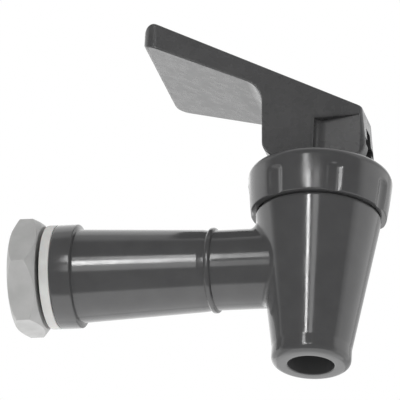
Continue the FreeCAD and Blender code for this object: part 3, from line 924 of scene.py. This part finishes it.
stand_for(make_body(), "faucet_body", "faucet", black)
stand_for(make_cap(), "bonnet_cap", "faucet", cap_black)
stand_for(softened("shank_nut", 0.35), "shank_nut", "faucet", nut_grey)
stand_for(softened("sealing_washer", 0.3), "sealing_washer", "faucet", white_rubber)
stand_for(make_handle(), "lever_handle", "handle", handle_black)
stand_for(softened("stem", 0.12, 2, 30), "stem", "lift_stem", natural)

for node, material in (
    ("seat_cup", clear_silicone),
    ("stem_spring", steel),
    ("spring_washer", natural),
    ("lever_pin", steel),
):
    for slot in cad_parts[node].material_slots:
        slot.material = material


# Camera: near-orthographic, from below and slightly to the right of the side view

VIEW_AZIMUTH = math.radians(14.03)
VIEW_ELEVATION = math.radians(-24.5)
VIEW_ROLL = math.radians(3.33)
VIEW_TARGET = Vector((-30.25, -1.55, 45.74)) * MM
VIEW_DISTANCE = 2.0
PIXELS_PER_MM = 4.002
FRAME_PIXELS = 400
SENSOR = 36.0

back = Vector(
    (
        math.sin(VIEW_AZIMUTH) * math.cos(VIEW_ELEVATION),
        -math.cos(VIEW_AZIMUTH) * math.cos(VIEW_ELEVATION),
        math.sin(VIEW_ELEVATION),
    )
)
level = Vector((math.cos(VIEW_AZIMUTH), math.sin(VIEW_AZIMUTH), 0))
upright = back.cross(level)
right = level * math.cos(VIEW_ROLL) + upright * math.sin(VIEW_ROLL)
up = upright * math.cos(VIEW_ROLL) - level * math.sin(VIEW_ROLL)

lens = bpy.data.cameras.new("camera")
lens.sensor_width = SENSOR
lens.lens = PIXELS_PER_MM * (VIEW_DISTANCE / MM) * SENSOR / FRAME_PIXELS
lens.clip_start = 0.1
lens.clip_end = 20
camera = bpy.data.objects.new("camera", lens)
camera.matrix_world = Matrix.Translation(VIEW_TARGET + back * VIEW_DISTANCE) @ Matrix(
    (right, up, back)
).transposed().to_4x4()
bpy.context.scene.collection.objects.link(camera)
bpy.context.scene.camera = camera


# Floor, lamps and world


def lamp(name, azimuth, elevation, distance, width, height, radiance):
    """A soft oblong lamp that looks at the faucet.

    Azimuth runs from -Y towards +X, and both angles are in degrees.
    """
    data = bpy.data.lights.new(name, "AREA")
    data.shape = "RECTANGLE"
    data.size = width
    data.size_y = height
    data.energy = radiance * math.pi * width * height
    thing = bpy.data.objects.new(name, data)
    az, el = math.radians(azimuth), math.radians(elevation)
    toward = Vector(
        (math.sin(az) * math.cos(el), -math.cos(az) * math.cos(el), math.sin(el))
    )
    thing.location = VIEW_TARGET + toward * distance
    thing.rotation_euler = toward.to_track_quat("Z", "Y").to_euler()
    bpy.context.scene.collection.objects.link(thing)


lamp("key_lamp", -4.5, 7, 1.2, 0.09, 0.21, 28.0)
lamp("shank_lamp", -10, 15, 1.2, 0.14, 0.28, 9.0)
lamp("side_lamp", 8, 6, 1.2, 0.2, 0.3, 3.3)
lamp("band_lamp", -8, -6, 1.2, 0.25, 0.3, 2.6)
lamp("low_back_lamp", 205, -14, 1.6, 1.3, 1.3, 0.55)
lamp("low_lamp", 180, -76, 0.8, 1.2, 1.2, 0.9)
lamp("right_lamp", 112, 0, 1.5, 2.1, 1.6, 0.6)
lamp("left_lamp", -121, 0, 1.5, 2.1, 1.6, 0.6)
lamp("top_lamp", 194, 52, 1.5, 1.6, 1.6, 0.5)

# The camera sees a white world. Gloss sees it white too, but for the dark side of the
# room where the photographer stands. That side is a fixed direction in the part's frame.

ROOM_DARK = 0.12
DARK_SIDE = (back * 0.97 + up * 0.22 - right * 0.2).normalized()
ABOVE_TABLE = (up * 0.743 + back * 0.669).normalized()


def maths(nodes, links, operation, a, b):
    node = nodes.new("ShaderNodeMath")
    node.operation = operation
    links.new(a, node.inputs[0])
    links.new(b, node.inputs[1])
    return node.outputs[0]


def beyond(nodes, links, ray, direction, low, high):
    """0 to 1 as a ray's direction turns towards the given one."""
    dot = nodes.new("ShaderNodeVectorMath")
    dot.operation = "DOT_PRODUCT"
    dot.inputs[1].default_value = direction
    links.new(ray, dot.inputs[0])
    step = nodes.new("ShaderNodeMapRange")
    step.interpolation_type = "SMOOTHSTEP"
    step.inputs["From Min"].default_value = low
    step.inputs["From Max"].default_value = high
    links.new(dot.outputs["Value"], step.inputs["Value"])
    return step.outputs[0]


def room(nodes, links, ray, kind, light):
    """What gloss sees in a direction: white, or the dark side."""
    dark_side = beyond(nodes, links, ray, DARK_SIDE, -0.05, 0.2)
    above_table = beyond(nodes, links, ray, ABOVE_TABLE, -0.03, 0.05)
    bright, dark = nodes.new(kind), nodes.new(kind)
    bright.inputs["Strength"].default_value = light
    dark.inputs["Strength"].default_value = ROOM_DARK
    factor = maths(nodes, links, "MULTIPLY", dark_side, above_table)
    return mixed(nodes, links, factor, bright.outputs[0], dark.outputs[0])


def mixed(nodes, links, factor, a, b):
    node = nodes.new("ShaderNodeMixShader")
    for socket, source in zip(node.inputs, (factor, a, b)):
        links.new(source, socket)
    return node.outputs[0]


FLOOR_HEIGHT = -1.0
FLOOR_HALF_WIDTH = 4.0


def pale_floor():
    """A pale, matt floor, whose mirror image in gloss is the room's."""
    material, nodes, links, shader, where = node_material("pale_floor")
    cloud = noise(nodes, links, where, 3, 2)
    links.new(ramp(nodes, links, cloud, 0.88, 0.9), shader.inputs["Base Color"])
    shader.inputs["Roughness"].default_value = 0.8
    place = nodes.new("ShaderNodeNewGeometry")
    ray = nodes.new("ShaderNodeVectorMath")
    ray.operation = "NORMALIZE"
    links.new(place.outputs["Position"], ray.inputs[0])
    path = nodes.new("ShaderNodeLightPath")
    seen = room(nodes, links, ray.outputs[0], "ShaderNodeEmission", 0.95)
    shown = mixed(nodes, links, path.outputs["Is Glossy Ray"], shader.outputs[0], seen)
    links.new(shown, nodes["Material Output"].inputs[0])
    return material


def make_floor():
    bm = bmesh.new()
    bmesh.ops.create_grid(bm, x_segments=8, y_segments=8, size=FLOOR_HALF_WIDTH)
    floor = piece("floor", bm, 30)
    floor.location = (0, 0, FLOOR_HEIGHT)
    dress(floor, pale_floor())


def make_world():
    """White to the camera, the room to gloss, and soft light for all else."""
    world = bpy.data.worlds.new("studio")
    bpy.context.scene.world = world
    world.use_nodes = True
    nodes, links = world.node_tree.nodes, world.node_tree.links
    nodes.clear()
    ray = nodes.new("ShaderNodeTexCoord")
    path = nodes.new("ShaderNodeLightPath")
    soft, white = nodes.new("ShaderNodeBackground"), nodes.new("ShaderNodeBackground")
    for light, strength in ((soft, 0.7), (white, 1.0)):
        light.inputs["Color"].default_value = (1, 1, 1, 1)
        light.inputs["Strength"].default_value = strength
    seen = maths(
        nodes, links, "MAXIMUM", path.outputs["Is Camera Ray"], path.outputs["Is Transmission Ray"]
    )
    gloss = room(nodes, links, ray.outputs["Generated"], "ShaderNodeBackground", 1.0)
    lit = mixed(nodes, links, path.outputs["Is Glossy Ray"], soft.outputs[0], gloss)
    out = nodes.new("ShaderNodeOutputWorld")
    links.new(mixed(nodes, links, seen, lit, white.outputs[0]), out.inputs[0])


make_floor()
make_world()
bpy.context.scene.view_settings.view_transform = "Standard"
